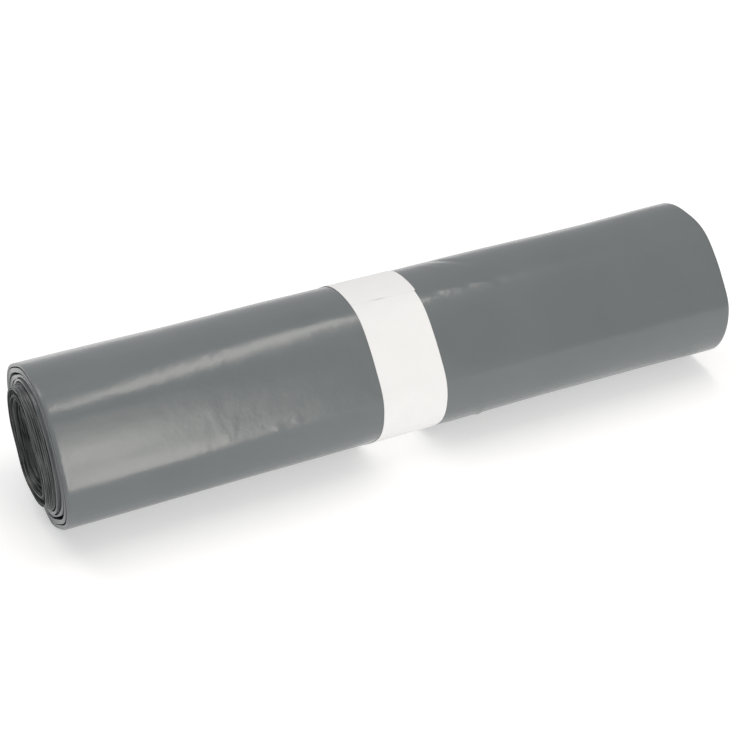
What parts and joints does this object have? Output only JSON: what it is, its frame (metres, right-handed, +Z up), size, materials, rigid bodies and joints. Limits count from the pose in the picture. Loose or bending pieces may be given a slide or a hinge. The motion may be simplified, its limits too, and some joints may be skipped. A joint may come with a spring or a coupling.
{
  "type": "bin bag roll",
  "caption": "Coreless roll of grey plastic bin bags lying on its side, with its turns showing at the ends and a plain paper band round the middle.",
  "frame": {"origin": "on the resting surface, under the middle of the object's box", "axes": "+X along the roll, away from the end where the inner turns stand out; +Y across the roll; +Z up"},
  "size_m": [0.355, 0.0906, 0.0768],
  "materials": {
    "film": "glossy, slightly creased polythene film",
    "paper": "plain uncoated white paper"
  },
  "bodies": {
    "root": {"bag_roll": "film", "paper_band": "paper"}
  },
  "joints": []
}
